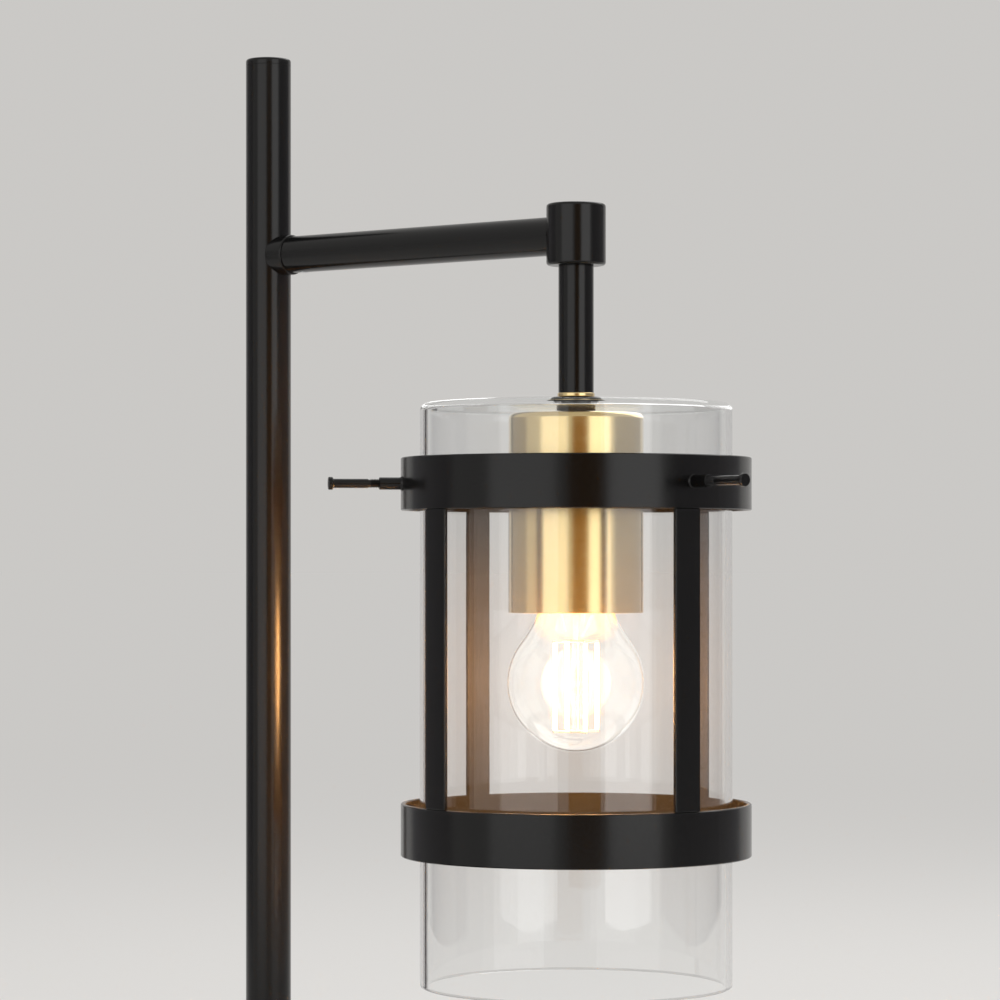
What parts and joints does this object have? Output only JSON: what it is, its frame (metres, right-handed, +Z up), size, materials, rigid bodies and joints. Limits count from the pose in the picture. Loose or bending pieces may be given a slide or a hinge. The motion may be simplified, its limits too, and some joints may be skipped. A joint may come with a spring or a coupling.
{
  "type": "table lamp",
  "caption": "Table lamp with a weighted round base, a black pole and side arm, and a hanging clear glass cylinder in a clamped ring cage round a bulb in a brass cup.",
  "frame": {"origin": "on the table, under the middle of the round base", "axes": "+Z up, +X from the pole to the lantern"},
  "size_m": [0.3336, 0.23, 0.56],
  "materials": {
    "felt": "pressed felt",
    "cast_iron": "as cast",
    "black_coat": "satin black powder coat",
    "rubber": "matt",
    "steel": "zinc plated",
    "brass": "satin polished",
    "clear_glass": "clear",
    "bulb_glass": "clear",
    "porcelain": "glazed",
    "bulb_cap": "rolled thread",
    "bulb_insulator": "black glass",
    "filament": "coated light strip",
    "switch_plastic": "fine grain"
  },
  "bodies": {
    "stand": {"base_pad": "felt", "base_weight": "cast_iron", "base_cover": "black_coat", "cord_inlet": "rubber", "base_washer": "steel", "base_nut": "steel", "base_nipple": "steel", "foot_collar": "black_coat", "switch_body": "switch_plastic", "foot_plug": "steel", "pole": "black_coat", "pole_cap": "black_coat", "arm_boss": "black_coat", "arm": "black_coat", "arm_grub_screw": "steel", "hub": "black_coat", "hub_cap": "black_coat", "hub_nut": "steel", "lamp_pipe": "steel", "drop_stem": "black_coat", "check_ring": "brass", "clamp_collar": "black_coat", "glass_bush": "rubber", "glass_shade": "clear_glass", "socket_cup": "brass", "pipe_washer": "steel", "pipe_nut": "steel", "holder_body": "porcelain", "holder_shell": "brass", "holder_contact": "brass"},
    "cage": {"upper_ring": "black_coat", "lower_ring": "black_coat", "strap_1": "black_coat", "strap_2": "black_coat", "strap_3": "black_coat", "strap_4": "black_coat", "screw_boss_1": "black_coat", "screw_boss_2": "black_coat", "screw_boss_3": "black_coat"},
    "bulb_end": {"bulb_tip": "bulb_cap"},
    "bulb": {"bulb_envelope": "bulb_glass", "bulb_screw_cap": "bulb_cap", "bulb_insulator": "bulb_insulator", "bulb_mount": "bulb_glass", "filament_crowns": "steel", "led_filaments": "filament"},
    "button": {"switch_button": "switch_plastic"},
    "pad_1": {"screw_pad_1": "rubber"},
    "screw_1": {"thumb_screw_1": "black_coat"},
    "pad_2": {"screw_pad_2": "rubber"},
    "screw_2": {"thumb_screw_2": "black_coat"},
    "pad_3": {"screw_pad_3": "rubber"},
    "screw_3": {"thumb_screw_3": "black_coat"}
  },
  "joints": [
    {"name": "cage_slide", "type": "slide", "parent": "stand", "child": "cage", "axis": [0, 0, 1], "range_m": [-0.16, 0.02]},
    {"name": "bulb_drop", "type": "slide", "parent": "stand", "child": "bulb_end", "axis": [0, 0, -1], "range_m": [0, 0.0145]},
    {"name": "bulb_turn", "type": "hinge", "parent": "bulb_end", "child": "bulb", "pos_m": [0.11, 0, 0.335], "axis": [0, 0, -1], "range_deg": [0, 1440]},
    {"name": "button_press", "type": "slide", "parent": "stand", "child": "button", "axis": [0, 0, -1], "range_m": [0, 0.0025], "stiffness_N_per_m": 600, "springref_m": -0.002},
    {"name": "pad_slide_1", "type": "slide", "parent": "cage", "child": "pad_1", "axis": [0.9781, -0.2079, 0], "range_m": [0, 0.00315]},
    {"name": "screw_turn_1", "type": "hinge", "parent": "pad_1", "child": "screw_1", "pos_m": [0.19803, -0.01871, 0.3591], "axis": [0.9781, -0.2079, 0], "range_deg": [0, 1621]},
    {"name": "pad_slide_2", "type": "slide", "parent": "cage", "child": "pad_2", "axis": [-0.309, 0.9511, 0], "range_m": [0, 0.00315]},
    {"name": "screw_turn_2", "type": "hinge", "parent": "pad_2", "child": "screw_2", "pos_m": [0.08219, 0.0856, 0.3591], "axis": [-0.309, 0.9511, 0], "range_deg": [0, 1621]},
    {"name": "pad_slide_3", "type": "slide", "parent": "cage", "child": "pad_3", "axis": [-0.6691, -0.7431, 0], "range_m": [0, 0.00315]},
    {"name": "screw_turn_3", "type": "hinge", "parent": "pad_3", "child": "screw_3", "pos_m": [0.04978, -0.06688, 0.3591], "axis": [-0.6691, -0.7431, 0], "range_deg": [0, 1621]}
  ],
  "couplings": [
    {"joint": "bulb_turn", "follows": "bulb_drop", "rad_per_m": 1731.4},
    {"joint": "screw_turn_1", "follows": "pad_slide_1", "rad_per_m": 8976},
    {"joint": "screw_turn_2", "follows": "pad_slide_2", "rad_per_m": 8976},
    {"joint": "screw_turn_3", "follows": "pad_slide_3", "rad_per_m": 8976}
  ]
}
